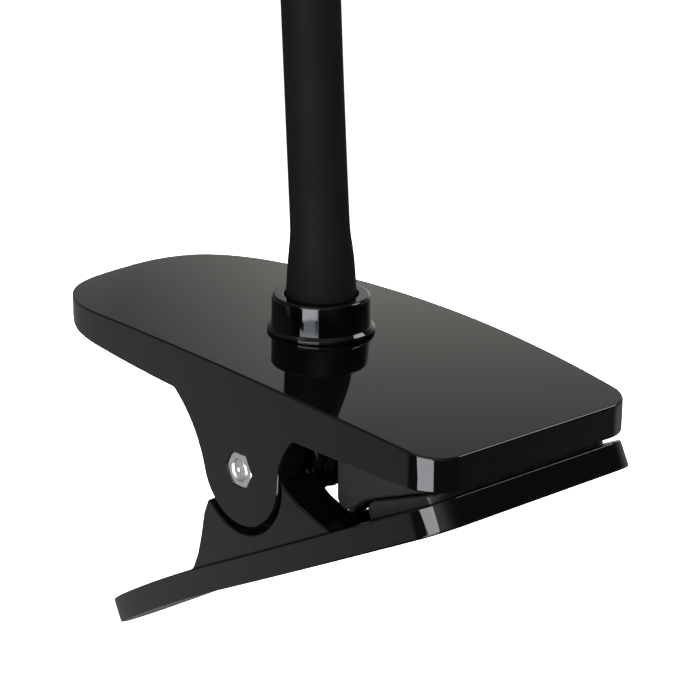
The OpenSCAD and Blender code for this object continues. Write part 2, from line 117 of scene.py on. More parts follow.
def over_datum(height):
    return placed(Vector((datum.x, datum.y, height)))


# Materials -----------------------------------------------------------------------

def node_at(tree, kind, **settings):
    node = tree.nodes.new(kind)
    for name, value in settings.items():
        setattr(node, name, value)
    return node


def noise_of(tree, coords, scale, detail=3.0, stretch=(1, 1, 1)):
    """A noise value around one half; scale is the number of blobs per metre."""
    mapping = node_at(tree, "ShaderNodeMapping")
    mapping.inputs["Scale"].default_value = stretch
    tree.links.new(coords, mapping.inputs["Vector"])
    texture = node_at(tree, "ShaderNodeTexNoise")
    texture.inputs["Scale"].default_value = scale
    texture.inputs["Detail"].default_value = detail
    tree.links.new(mapping.outputs["Vector"], texture.inputs["Vector"])
    return texture.outputs["Fac"]


def ramp(tree, value, low, high, out_low, out_high):
    """Spreads the value between low and high over out_low to out_high."""
    spread = node_at(tree, "ShaderNodeMapRange", clamp=True)
    for name, number in (("From Min", low), ("From Max", high), ("To Min", out_low), ("To Max", out_high)):
        spread.inputs[name].default_value = number
    tree.links.new(value, spread.inputs["Value"])
    return spread.outputs["Result"]


def mixed(tree, factor, first, second):
    mix = node_at(tree, "ShaderNodeMix", data_type="RGBA")
    mix.inputs["A"].default_value = (*first, 1)
    mix.inputs["B"].default_value = (*second, 1)
    tree.links.new(factor, mix.inputs["Factor"])
    return mix.outputs["Result"]


def bumped(tree, height, depth, strength, under=None):
    bump = node_at(tree, "ShaderNodeBump")
    bump.inputs["Strength"].default_value = strength
    bump.inputs["Distance"].default_value = depth
    tree.links.new(height, bump.inputs["Height"])
    if under is not None:
        tree.links.new(under, bump.inputs["Normal"])
    return bump.outputs["Normal"]


def finish(name, dark, light, rough, grain, grain_depth, grain_strength, metal=0.0,
           stretch=(1, 1, 1), cloud=60, dust=0.0, wave=None, fixed=()):
    """A material of two tones mottled by a fine grain, with roughness that drifts in soft
    clouds between the two values of rough. dust adds pale specks, and wave a second,
    broader unevenness given as (blobs per metre, depth, strength)."""
    material = bpy.data.materials.new(name)
    material.use_nodes = True
    tree = material.node_tree
    shader = tree.nodes["Principled BSDF"]
    shader.inputs["Metallic"].default_value = metal
    for socket, value in fixed:
        shader.inputs[socket].default_value = value
    coords = node_at(tree, "ShaderNodeTexCoord").outputs["Object"]
    fine = noise_of(tree, coords, grain, 4, stretch)
    soft = noise_of(tree, coords, cloud, 2)
    colour = mixed(tree, ramp(tree, fine, 0.35, 0.65, 0, 1), dark, light)
    roughness = ramp(tree, soft, 0.3, 0.7, *rough)
    if dust:
        speck = ramp(tree, noise_of(tree, coords, 900, 1), 0.74, 0.78, 0, dust)
        adds = node_at(tree, "ShaderNodeMath", operation="ADD", use_clamp=True)
        tree.links.new(roughness, adds.inputs[0])
        tree.links.new(speck, adds.inputs[1])
        roughness = adds.outputs["Value"]
    normal = None
    if wave:
        normal = bumped(tree, noise_of(tree, coords, wave[0], 1), wave[1], wave[2])
    normal = bumped(tree, fine, grain_depth, grain_strength, normal)
    tree.links.new(colour, shader.inputs["Base Color"])
    tree.links.new(roughness, shader.inputs["Roughness"])
    tree.links.new(normal, shader.inputs["Normal"])
    return material


BRUSHED_ACROSS = (1, 0.08, 1)
LOOKS = {
    "jaw_plastic": dict(
        dark=(0.0018, 0.0018, 0.0018), light=(0.0028, 0.0027, 0.0026), rough=(0.02, 0.05), cloud=45,
        grain=900, grain_depth=0.001 * MM, grain_strength=0.1, dust=0.05, wave=(110, 0.01 * MM, 0.04)),
    "black_gloss_metal": dict(
        dark=(0.0006, 0.0006, 0.0007), light=(0.0012, 0.0012, 0.0014), rough=(0.04, 0.08), cloud=90,
        grain=1200, grain_depth=0.001 * MM, grain_strength=0.15, dust=0.06, wave=(260, 0.01 * MM, 0.08)),
    "sleeve_rubber": dict(
        dark=(0.0036, 0.0036, 0.0039), light=(0.0078, 0.008, 0.0086), rough=(0.55, 0.7), cloud=70,
        grain=4200, grain_depth=0.05 * MM, grain_strength=0.35, wave=(240, 0.05 * MM, 0.15),
        fixed=(("Specular IOR Level", 0.06),)),
    "pad_rubber": dict(
        dark=(0.005, 0.005, 0.005), light=(0.016, 0.016, 0.0155), rough=(0.36, 0.5), cloud=200,
        grain=2400, grain_depth=0.05 * MM, grain_strength=0.5, stretch=(1, 0.12, 1),
        wave=(700, 0.06 * MM, 0.3)),
    "zinc_steel": dict(
        dark=(0.66, 0.68, 0.7), light=(0.86, 0.87, 0.89), rough=(0.36, 0.5), metal=1.0, cloud=500,
        grain=2600, grain_depth=0.01 * MM, grain_strength=0.35, wave=(900, 0.02 * MM, 0.2)),
    "turned_steel": dict(
        dark=(0.4, 0.4, 0.41), light=(0.62, 0.62, 0.63), rough=(0.22, 0.38), metal=1.0,
        grain=2400, grain_depth=0.01 * MM, grain_strength=0.4, stretch=BRUSHED_ACROSS),
    "conduit_steel": dict(
        dark=(0.3, 0.3, 0.31), light=(0.48, 0.48, 0.49), rough=(0.35, 0.5), metal=1.0,
        grain=1800, grain_depth=0.02 * MM, grain_strength=0.4),
    "spring_steel": dict(
        dark=(0.012, 0.012, 0.013), light=(0.03, 0.03, 0.031), rough=(0.16, 0.32), metal=0.6, cloud=300,
        grain=3200, grain_depth=0.01 * MM, grain_strength=0.3, dust=0.25),
    "nylon": dict(
        dark=(0.62, 0.6, 0.55), light=(0.7, 0.68, 0.63), rough=(0.35, 0.5),
        grain=1500, grain_depth=0.01 * MM, grain_strength=0.25),
    "brass": dict(
        dark=(0.5, 0.35, 0.13), light=(0.72, 0.53, 0.24), rough=(0.2, 0.36), metal=1.0,
        grain=2400, grain_depth=0.01 * MM, grain_strength=0.35, stretch=BRUSHED_ACROSS),
    "head_plastic": dict(
        dark=(0.008, 0.008, 0.0085), light=(0.014, 0.014, 0.0145), rough=(0.16, 0.26), cloud=80,
        grain=2600, grain_depth=0.02 * MM, grain_strength=0.22, dust=0.1),
    "liner_rubber": dict(
        dark=(0.02, 0.02, 0.021), light=(0.04, 0.04, 0.041), rough=(0.6, 0.8),
        grain=2600, grain_depth=0.04 * MM, grain_strength=0.4),
}
finishes = {name: finish(name, **look) for name, look in LOOKS.items()}


# Mesh helpers ----------------------------------------------------------------------

def ring(radius, height, steps=96, sides=0):
    """A ring of points round Z; with sides, radius is the distance to the middle of a flat."""
    points = []
    for i in range(steps):
        turn = 2 * pi * i / steps
        reach = radius
        if sides:
            flat = 2 * pi / sides
            reach = radius / cos((turn + flat / 2) % flat - flat / 2)
        points.append(Vector((reach * cos(turn), reach * sin(turn), height)))
    return points


def circle(centre, first, second, radius, sides):
    """Points round a centre, in the plane of two unit vectors."""
    turns = (2 * pi * k / sides for k in range(sides))
    return [centre + (first * cos(t) + second * sin(t)) * radius for t in turns]


def skin(rings, joined=False):
    """A surface through rings of points; a ring of one point is a pole, and joined links
    the last ring to the first."""
    form = bmesh.new()
    loops = [[form.verts.new(point) for point in points] for points in rings]
    pairs = list(zip(loops, loops[1:]))
    if joined:
        pairs.append((loops[-1], loops[0]))
    for low, high in pairs:
        count = max(len(low), len(high))
        for i in range(count):
            j = i + 1
            corners = [low[i % len(low)], low[j % len(low)], high[j % len(high)], high[i % len(high)]]
            form.faces.new(list(dict.fromkeys(corners)))
    bmesh.ops.recalc_face_normals(form, faces=form.faces)
    return form


def rounded(corners, closed=True, steps=5):
    """An outline whose corners, given as (x, y, radius), are turned into arcs."""
    points = []
    for i, (x, y, radius) in enumerate(corners):
        here = Vector((x, y))
        if radius == 0 or (not closed and i in (0, len(corners) - 1)):
            points.append(here)
            continue
        back = (Vector(corners[i - 1][:2]) - here).normalized()
        ahead = (Vector(corners[(i + 1) % len(corners)][:2]) - here).normalized()
        half = back.angle(ahead) / 2
        centre = here + (back + ahead).normalized() * radius / sin(half)
        start = here + back * radius / tan(half) - centre
        end = here + ahead * radius / tan(half) - centre
        for k in range(steps + 1):
            points.append(centre + start.lerp(end, k / steps).normalized() * radius)
    return points


def turned(corners, closed=True, steps=96, arc_steps=5, sides=0):
    """A form turned round Z from an outline of (radius, height, corner radius)."""
    rings = []
    for radius, height in rounded(corners, closed, arc_steps):
        rings.append([Vector((0, 0, height))] if radius < 1e-9 else ring(radius, height, steps, sides))
    return skin(rings, joined=closed)


def shade_smooth(piece, sharp_deg):
    piece.data.shade_smooth()
    piece.data.set_sharp_from_angle(angle=radians(sharp_deg))


def merged(forms):
    whole = bmesh.new()
    for form in forms:
        mesh = bpy.data.meshes.new("merged")
        form.to_mesh(mesh)
        form.free()
        whole.from_mesh(mesh)
        bpy.data.meshes.remove(mesh)
    return whole


def weigh_normals(piece, sharp_deg):
    """Keeps flat faces flat and lets the light roll over the rounded edges between them."""
    shade_smooth(piece, sharp_deg)
    modifier = piece.modifiers.new("weighted_normals", "WEIGHTED_NORMAL")
    modifier.keep_sharp = True


def as_piece(name, form, nodes, place=None, sharp_deg=40, ride=True):
    """Makes a piece that stands for CAD nodes, with their body and their finish."""
    mesh = bpy.data.meshes.new(name)
    if place is not None:
        form.transform(place)
    form.to_mesh(mesh)
    form.free()
    piece = bpy.data.objects.new(name, mesh)
    scene.collection.objects.link(piece)
    slot = slot_of[nodes[0]]
    mesh.materials.append(finishes[slot])
    if ride:
        weigh_normals(piece, sharp_deg)
        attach(piece, body_of[nodes[0]])
    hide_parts(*nodes)
    return piece


def cad_form(node):
    """A copy of a CAD node's mesh, welded, with its flat faces made whole."""
    form = bmesh.new()
    form.from_mesh(frame["nodes"][node].data)
    bmesh.ops.remove_doubles(form, verts=form.verts, dist=1e-6)
    bmesh.ops.dissolve_limit(form, angle_limit=radians(0.4), verts=form.verts, edges=form.edges)
    return form


def softened(node, width, sharp_deg=30, segments=3, fine=None):
    """A copy of a CAD node with its sharp edges rounded. fine is a test of an edge's middle
    and a smaller width for the edges that pass it."""
    form = cad_form(node)
    for attribute in list(form.loops.layers.uv.values()):
        form.loops.layers.uv.remove(attribute)
    sharp = [e for e in form.edges if e.is_manifold and e.calc_face_angle(0) > radians(sharp_deg)]
    groups = [(sharp, width)]
    if fine:
        near = [e for e in sharp if fine[0]((e.verts[0].co + e.verts[1].co) / 2)]
        groups = [([e for e in sharp if e not in set(near)], width), (near, fine[1])]
    for edges, offset in groups:
        edges = [e for e in edges if e.is_valid]
        bmesh.ops.bevel(form, geom=edges, offset=offset, offset_type="OFFSET", segments=segments,
                        profile=0.5, affect="EDGES")
    return form


def near_recess(point):
    """Whether a point is on one of the pivot's two hexagonal recesses."""
    return abs(point.y) > 30 * MM and Vector((point.x - pivot.x, 0, point.z - pivot.z)).length < 6 * MM


def threaded(radius, low, high, pitch, steps=48):
    """Rings of a screw thread that runs out to the plain radius at both ends."""
    count = ceil((high - low) / pitch * 6)
    rings = []
    for i in range(count + 1):
        z = low + (high - low) * i / count
        depth = 0.45 * pitch * min(1, (z - low) / pitch, (high - z) / pitch)
        points = []
        for k in range(steps):
            wave = abs(2 * ((z / pitch - k / steps) % 1) - 1)
            reach = radius - depth * wave
            points.append(Vector((reach * cos(2 * pi * k / steps), reach * sin(2 * pi * k / steps), z)))
        rings.append(points)
    return rings


def cap_screw(shank, length, thread_from, pitch, head, head_height, key, steps=48):
    """A screw with a low domed head and a hexagonal key hole. The head sits below height 0
    and the shank stands above it, threaded from thread_from to its tip."""
    tip = 0.3 * pitch
    rings = [[Vector((0, 0, length))], ring(shank - tip - 0.2 * pitch, length, steps)]
    rings += threaded(shank, thread_from, length - tip, pitch, steps)[::-1]
    rings += [ring(shank, 0, steps), ring(0.97 * head, 0, steps), ring(head, -0.06 * head, steps),
              ring(head, -0.45 * head_height, steps), ring(0.94 * head, -0.86 * head_height, steps),
              ring(0.78 * head, -head_height, steps), ring(1.1 * key, -head_height, steps, 6),
              ring(key, -head_height + 0.1 * key, steps, 6), ring(key, -0.3 * head_height, steps, 6),
              [Vector((0, 0, -0.15 * head_height))]]
    return skin(rings)


# Jaws --------------------------------------------------------------------------------

# Curves of the mouldings' big faces, in millimetres from the datum
SIDE_MIDDLE, SIDE_BOW, SIDE_HALF_WIDTH, SIDE_ENDS = 6, 0.0009, 35.9, (-50, 64)
DECK_MIDDLE, DECK_RADIUS = -6.74, 691
LOWER_TILT = radians(27.7)


def side_normal(point, normal):
    """The true normal where a face lies on a jaw's bowed side wall."""
    x = point.x - SIDE_MIDDLE
    if abs(normal.y) < 0.9 or not SIDE_ENDS[0] < point.x < SIDE_ENDS[1]:
        return None
    if normal.y * point.y < 0 or abs(SIDE_HALF_WIDTH - SIDE_BOW * x * x - abs(point.y)) > 0.7:
        return None
    return Vector((2 * SIDE_BOW * x, 1 if normal.y > 0 else -1, 0)).normalized()


def deck_normal(point, normal):
    """The true normal where a face lies on the arched deck."""
    if normal.z < 0.9 or point.z < -8:
        return None
    return Vector((point.x - DECK_MIDDLE, 0, DECK_RADIUS)).normalized()


def set_true_normals(piece, rules, to_flat):
    """Bakes a moulding's normals and puts those of its big faces on their curves, so that
    reflections run over them unbroken. to_flat takes a point to the rules' frame."""
    graph = bpy.context.evaluated_depsgraph_get()
    mesh = bpy.data.meshes.new_from_object(piece.evaluated_get(graph))
    piece.modifiers.clear()
    piece.data = mesh
    turn = to_flat.to_3x3()
    true = {}
    for face in mesh.polygons:
        for corner in face.vertices:
            point = to_flat @ mesh.vertices[corner].co / MM
            for rule in rules:
                found = rule(point, turn @ face.normal)
                if found:
                    true[corner] = turn.inverted() @ found
    normals = []
    for loop, corner in zip(mesh.loops, mesh.corner_normals):
        normal = true.get(loop.vertex_index)
        near = normal is not None and normal.dot(corner.vector) > cos(radians(25))
        normals.append(normal if near else corner.vector.copy())
    mesh.normals_split_custom_set(normals)


def make_jaws():
    to_datum = Matrix.Translation(-datum)
    to_lower = (Matrix.Translation(pivot - datum) @ Matrix.Rotation(LOWER_TILT, 4, "Y")
                @ Matrix.Translation(-pivot))
    rounded_jaw = softened("upper_jaw", 0.5 * MM, fine=(near_recess, 0.12 * MM))
    upper = as_piece("upper_jaw_moulding", rounded_jaw, ["upper_jaw"], sharp_deg=60)
    set_true_normals(upper, (side_normal, deck_normal), to_datum)
    lower = as_piece("lower_jaw_moulding", softened("lower_jaw", 0.5 * MM), ["lower_jaw"], sharp_deg=60)
    set_true_normals(lower, (side_normal,), to_lower)


# Grip pads -----------------------------------------------------------------------------

def make_pads():
    for node in ("upper_pad", "lower_pad"):
        piece = as_piece(f"{node}_rubber", softened(node, 0.7 * MM, segments=4), [node], sharp_deg=60)


# Pivot ---------------------------------------------------------------------------------

HEX_CHAMFER = radians(30)
HEX_CROWN = 1.05
HEX_SHARP_DEG = 22
BORE_CHAMFER = 0.35 * MM
# From a flat to the next corner
CORNER_TURN = Matrix.Rotation(pi / 6, 4, "Z")
BOLT_RADIUS = 2.5 * MM
BOLT_HEAD = 3.5 * MM


def hex_solid(half_flats, low, high, bore=0.0, steps=120):
    """A hexagonal nut or bolt head, its corners cut back by a cone at both faces."""
    crown = half_flats * HEX_CROWN

    def face(points, height):
        return [Vector((*(p.xy * min(1.0, crown / p.xy.length)), height)) for p in points]

    def cut(points, height, sign):
        slope = sign * tan(HEX_CHAMFER)
        return [Vector((p.x, p.y, height + max(0.0, p.xy.length - crown) * slope)) for p in points]

    side = ring(half_flats, 0, steps, sides=6)
    rings = [face(side, low), cut(side, low, 1), cut(side, high, -1), face(side, high)]
    if bore:
        mouth = bore + BORE_CHAMFER
        rings = [ring(mouth, low, steps), *rings, ring(mouth, high, steps),
                 ring(bore, high - BORE_CHAMFER, steps), ring(bore, low + BORE_CHAMFER, steps)]
    else:
        rings = [[Vector((0, 0, low))], *rings, [Vector((0, 0, high))]]
    form = skin(rings, joined=bool(bore))
    bmesh.ops.remove_doubles(form, verts=form.verts, dist=1e-7)
    return form


def make_pivot():
    low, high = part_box("pivot_nut")
    half_flats = (high.z - low.z) / 2
    bolt_low, bolt_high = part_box("pivot_bolt")
    nut = hex_solid(half_flats, 0, high.y - low.y, BOLT_RADIUS + 0.05 * MM)
    as_piece("pivot_nut_hex", nut, ["pivot_nut"],
             placed(Vector((pivot.x, high.y, pivot.z)), -ACROSS), sharp_deg=HEX_SHARP_DEG)
    seat = bolt_high.y - BOLT_HEAD
    length = seat - bolt_low.y
    shank = turned([(0, 0, 0), (BOLT_RADIUS, 0, 0), (BOLT_RADIUS, length - 0.5 * MM, 0),
                    (BOLT_RADIUS - 0.5 * MM, length, 0.1 * MM), (0.9 * MM, length, 0.1 * MM),
                    (0.6 * MM, length - 0.25 * MM, 0), (0, length - 0.25 * MM, 0)],
                   closed=False, steps=72)
    head = hex_solid(half_flats, -BOLT_HEAD, 0)
    as_piece("pivot_bolt_hex", merged([shank, head]), ["pivot_bolt"],
             placed(Vector((pivot.x, seat, pivot.z)), -ACROSS), sharp_deg=HEX_SHARP_DEG)


# Jaw spring ----------------------------------------------------------------------------

COIL_RADIUS = 8.8 * MM
COIL_HALF_LENGTH = 19.5 * MM
WIRE_RADIUS = 1.5 * MM
UPPER_LEG = (radians(78), 48 * MM)
LOWER_LEG = (radians(-46), 42 * MM)
COIL_TURNS = 10
WIRE_SIDES = 14
WIRE_STEP = radians(8)


def make_spring():
    """One wire: the upper leg, the coil and the lower leg, each leg on the coil's tangent."""
    sweep = UPPER_LEG[0] - LOWER_LEG[0] + 2 * pi * COIL_TURNS
    steps = ceil(sweep / WIRE_STEP)
    stations = [(UPPER_LEG[0], -1.0, UPPER_LEG[1])]
    stations += [(UPPER_LEG[0] - sweep * i / steps, 2 * i / steps - 1, 0) for i in range(steps + 1)]
    stations += [(UPPER_LEG[0] - sweep, 1.0, -LOWER_LEG[1])]
    rings = []
    for angle, share, reach in stations:
        out = Vector((cos(angle), 0, sin(angle)))
        ahead = Vector((-sin(angle), 0, cos(angle)))
        centre = pivot + out * COIL_RADIUS + ACROSS * share * COIL_HALF_LENGTH + ahead * reach
        rings.append(circle(centre, out, ACROSS, WIRE_RADIUS, WIRE_SIDES))
    ends = [sum(rings[i], Vector()) / WIRE_SIDES for i in (0, -1)]
    form = skin([[ends[0]], *rings, [ends[1]]])
    spring = as_piece("jaw_spring_wire", form, ["torsion_spring"], ride=False)
    shade_smooth(spring, 50)
    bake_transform(spring)


# Collar --------------------------------------------------------------------------------

def collar_normal(point, normal):
    """The lean of the collar's waisted wall, which flares a little towards its foot."""
    if abs(normal.z) > 0.12 or not 1.5 < point.z < 9 or point.xy.length < 11:
        return None
    lean = radians(1.5 if point.z > 8 else 6.5)
    return Vector((point.x, point.y, point.xy.length * tan(lean))).normalized()


def make_collar():
    low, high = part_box("collar")
    radius = (high.x - low.x) / 2
    height = high.z - low.z
    bore = radius - 3.05 * MM
    hole = 6.1 * MM
    base = over_datum(low.z)
    collar = turned([(hole, 0, 0.2 * MM), (radius + 0.2 * MM, 0, 0.1 * MM),
                     (radius + 0.06 * MM, 1.2 * MM, 2 * MM), (radius - 0.05 * MM, height, 0.85 * MM),
                     (bore, height, 0.3 * MM), (bore, 2 * MM, 0.2 * MM), (hole, 2 * MM, 0.2 * MM)],
                    steps=144, arc_steps=6)
    ring_piece = as_piece("collar_ring", collar, ["collar"], base)
    set_true_normals(ring_piece, (collar_normal,), Matrix.Translation(-datum))
    low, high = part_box("base_washer")
    radius = (high.x - low.x) / 2
    thickness = high.z - low.z
    inner = radius - 1.1 * MM
    bead = turned([(hole, 0, 0.1 * MM), (radius, 0, 0.15 * MM), (radius, 0.75 * MM, 0.35 * MM),
                   (inner + 0.3 * MM, 1.5 * MM, 0.3 * MM), (inner, 1.55 * MM, 0.05 * MM),
                   (inner, thickness, 0.05 * MM), (hole, thickness, 0.1 * MM)],
                  steps=144, arc_steps=6)
    as_piece("base_bead", bead, ["base_washer"], over_datum(low.z))


# Neck sleeve ---------------------------------------------------------------------------

SLEEVE_RADIUS = 7.15 * MM
SLEEVE_BORE = 5.65 * MM
SOCKET_RADIUS = 6.95 * MM
FOOT_LOW = 4.6 * MM
SOCKET_TOP = 18 * MM
SLEEVE_END = 37.8 * MM
# Outer radius of the foot at heights above the datum, both in millimetres
FOOT_FLARE = [(4.6, 8.65), (10, 8.6), (14, 8.4), (18, 8.1), (21, 7.75), (23.5, 7.45),
              (25.5, 7.3), (32, 7.22), (60, 7.15)]
SLEEVE_SIDES = 72
FOOT_BEND = 6 * MM
TOP_BEND = 16 * MM
BEND_STEPS = 16


def foot_radius(height):
    """The flared foot's outer radius, in straight steps between the named heights."""
    points = [(h * MM, r * MM) for h, r in FOOT_FLARE]
    if height >= points[-1][0]:
        return SLEEVE_RADIUS
    for (low, r_low), (high, r_high) in zip(points, points[1:]):
        if height <= high:
            return r_low + (r_high - r_low) * (height - low) / (high - low)


def curved(start, control, end, steps):
    """Points and directions along a quadratic curve, its start left out."""
    run = []
    for i in range(1, steps + 1):
        t = i / steps
        point = start * (1 - t) ** 2 + control * 2 * t * (1 - t) + end * t * t
        run.append((point, ((control - start) * (1 - t) + (end - control) * t).normalized()))
    return run


def tube(run, outer, inner):
    """A closed tube along a run of (point, direction), with radii given by functions."""
    def wall(radius):
        return [circle(point, ACROSS.cross(direction).normalized(), ACROSS, radius(point), SLEEVE_SIDES)
                for point, direction in run]

    return skin(wall(outer) + wall(inner)[::-1], joined=True)


def make_sleeve():
    """The rubber sleeve in seven lengths that meet half way between the neck's bends."""
    bends = [joint_point(f"neck_bend_{i}") for i in range(1, 7)]
    stretch = (bends[1] - bends[0]).length
    drop = sqrt(stretch ** 2 - (bends[0].x - datum.x) ** 2)
    foot = Vector((datum.x, 0, bends[0].z - drop))
    corners = [foot, *bends, bends[-1] + neck_up * stretch]
    halves = [(a + b) / 2 for a, b in zip(corners, corners[1:])]

    base = Vector((datum.x, 0, datum.z + FOOT_LOW))
    straight_top = foot - UP * FOOT_BEND
    lean = (bends[0] - foot).normalized()
    bend_top = foot + lean * FOOT_BEND
    rise = straight_top.z - base.z
    run = [(base + UP * rise * i / 8, UP) for i in range(9)]
    run += curved(straight_top, foot, bend_top, 12)
    run += [(bend_top.lerp(halves[0], i / 16), lean) for i in range(1, 17)]

    def outer(point):
        return foot_radius(point.z - datum.z)

    def inner(point):
        return SOCKET_RADIUS if point.z - datum.z < SOCKET_TOP - 1 * MM else SLEEVE_BORE

    as_piece("neck_sleeve_foot", tube(run, outer, inner), ["neck_sleeve_1"])
    for i, bend in enumerate(bends):
        direction = (bend - halves[i]).normalized()
        run = [(halves[i], direction)]
        if i < 5:
            run += curved(halves[i], bend, halves[i + 1], 2 * BEND_STEPS)
        else:
            run += curved(halves[i], bend, bend + neck_up * TOP_BEND, 2 * BEND_STEPS)
            run += [(bend + neck_up * (TOP_BEND + (SLEEVE_END - TOP_BEND) * k / 8), neck_up)
                    for k in range(1, 9)]
        form = tube(run, outer, lambda point: SLEEVE_BORE)
        piece = as_piece(f"neck_sleeve_bend_{i + 1}", form, [f"neck_sleeve_{i + 2}"], ride=False)
        shade_smooth(piece, 50)
        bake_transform(piece)


# Head ----------------------------------------------------------------------------------

# Turned outlines in millimetres: (radius, height), and the corner's radius where one is given
FERRULE = [(7.2, 0, 0.2), (8.6, 0, 0.3), (8.6, 7.4, 0.15), (8.25, 7.7, 0.1), (8.25, 8.2, 0.1),
           (8.6, 8.5, 0.15), (8.6, 12, 0.9), (3.06, 12, 0.2), (3.06, 9.2, 0.1), (5.6, 9.2, 0.1),
           (5.6, 6, 0.1), (7.2, 6, 0.1)]
POST_FLANGE = [(5.1, 0), (5.3, 0.2), (5.3, 2.35), (5.1, 2.55), (3, 2.55)]
SOCKET_BODY = [(6, 3), (8.5, 3), (8.6, 3.1), (8.6, 4.4), (8.5, 4.5), (6.9, 4.5), (6.9, 15.8),
               (6.7, 16), (5.7, 16), (5.53, 15.8), (5.53, 6)]
# Seats along the neck above its last bend
FERRULE_SEAT = 32 * MM
POST_SEAT = 38.6 * MM
POST_LENGTH = 57.5 * MM - POST_SEAT
SWIVEL_NUT_SEAT = 52.9 * MM
# CAD nodes shown with rounded edges, and the width of the rounding in millimetres
SOFTENED = (("head_yoke", 0.5), ("holder_rail", 0.6), ("front_cradle", 0.3), ("rear_cradle", 0.3),
            ("front_liner", 0.15), ("rear_liner", 0.15), ("tilt_knob", 0.45), ("swivel_washer", 0.12),
            ("tilt_washers", 0.12), ("knob_insert", 0.15), ("spacer_tube", 0.25), ("lock_washer", 0.15))


def in_metres(corners):
    return [(radius * MM, height * MM, corner * MM) for radius, height, corner in corners]


def stacked(outline, steps):
    """Rings from an outline of (radius, height) in millimetres."""
    return [ring(radius * MM, height * MM, steps) for radius, height in outline]


def up_the_neck(distance):
    return placed(joint_point("neck_bend_6") + neck_up * distance, neck_up)


def make_head():
    for node, width in SOFTENED:
        as_piece(f"{node}_part", softened(node, width * MM), [node], sharp_deg=50)

    ferrule = turned(in_metres(FERRULE), steps=120, arc_steps=4)
    as_piece("top_ferrule_cap", ferrule, ["top_ferrule"], up_the_neck(FERRULE_SEAT))

    rings = [[Vector((0, 0, 0))]] + stacked(POST_FLANGE, 48)
    rings += threaded(3 * MM, 13 * MM, POST_LENGTH - 0.4 * MM, 1 * MM)
    rings += [ring(2.4 * MM, POST_LENGTH, 48), [Vector((0, 0, POST_LENGTH))]]
    as_piece("swivel_post_stud", skin(rings), ["swivel_post"], up_the_neck(POST_SEAT), sharp_deg=30)
    nut = hex_solid(4.9 * MM, 0, 4.4 * MM, 3.05 * MM)
    as_piece("swivel_nut_hex", nut, ["swivel_nut"], up_the_neck(SWIVEL_NUT_SEAT) @ CORNER_TURN,
             sharp_deg=HEX_SHARP_DEG)

    low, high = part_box("tilt_bolt")
    seat = high.y - 30.95 * MM
    bolt = cap_screw(2.5 * MM, high.y - seat, 12 * MM, 0.8 * MM, 5 * MM, seat - low.y, 1.5 * MM)
    as_piece("tilt_bolt_screw", bolt, ["tilt_bolt"],
             placed(Vector((tilt_axis.x, seat, tilt_axis.z)), ACROSS), sharp_deg=30)
    low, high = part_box("cradle_screws")
    pair = []
    for x in (low.x + 2.75 * MM, high.x - 2.75 * MM):
        screw = cap_screw(1.48 * MM, 5.3 * MM, 0.5 * MM, 0.5 * MM, 2.75 * MM, 1.97 * MM, 1 * MM)
        screw.transform(Matrix.Translation((x, (low.y + high.y) / 2, low.z + 1.97 * MM)))
        pair.append(screw)
    as_piece("cradle_screws_pair", merged(pair), ["cradle_screws"], sharp_deg=30)


def make_neck_fixing():
    """The threaded socket that the neck stands in, and the nut that holds it under the deck."""
    rings = [[Vector((0, 0, -14 * MM))], ring(5.4 * MM, -14 * MM, 72)]
    rings += threaded(6 * MM, -13.6 * MM, -0.6 * MM, 1.25 * MM, 72)
    rings += stacked(SOCKET_BODY, 72)
    rings.append([Vector((0, 0, 6 * MM))])
    as_piece("neck_socket_stud", skin(rings), ["neck_socket"], placed(datum), sharp_deg=30)
    low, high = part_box("lock_nut")
    nut = hex_solid(9 * MM, 0, high.z - low.z, 6.05 * MM)
    as_piece("lock_nut_hex", nut, ["lock_nut"], over_datum(low.z) @ CORNER_TURN,
             sharp_deg=HEX_SHARP_DEG)


def dress_plain_nodes():
    """Nodes whose CAD shape is shown as it is get the finish of their slot."""
    for node, obj in frame["nodes"].items():
        if obj.hide_render:
            continue
        obj.data.materials.clear()
        obj.data.materials.append(finishes[slot_of[node]])


# Stage ---------------------------------------------------------------------------------

AZIMUTH = radians(48.73)
ELEVATION = radians(18.85)
ROLL = radians(0.5)
CAMERA_DISTANCE = 524.1 * MM
CAMERA_SHIFT = (7.113 * MM, -5.302 * MM)
LENS_MM = 109.7
SENSOR_MM = 36
FLOOR_DROP = 0.25
DOME_RADIUS = 8.0
COVE_RADIUS = 1.6
QUARTER_STEPS = 16


def make_camera():
    back = Vector((sin(AZIMUTH) * cos(ELEVATION), -cos(AZIMUTH) * cos(ELEVATION), sin(ELEVATION)))
    level_right = Vector((cos(AZIMUTH), sin(AZIMUTH), 0))
    level_up = back.cross(level_right)
    right = level_right * cos(ROLL) + level_up * sin(ROLL)
    up = level_up * cos(ROLL) - level_right * sin(ROLL)
    data = bpy.data.cameras.new("photo_camera")
    data.lens = LENS_MM
    data.sensor_width = SENSOR_MM
    data.clip_start = 0.01
    camera = bpy.data.objects.new("photo_camera", data)
    scene.collection.objects.link(camera)
    place = datum + back * CAMERA_DISTANCE + right * CAMERA_SHIFT[0] + up * CAMERA_SHIFT[1]
    camera.matrix_world = Matrix.Translation(place) @ Matrix((right, up, back)).transposed().to_4x4()
    scene.camera = camera


def camera_only(obj):
    obj.visible_diffuse = False
    obj.visible_glossy = False
    obj.visible_transmission = False
    obj.visible_shadow = False


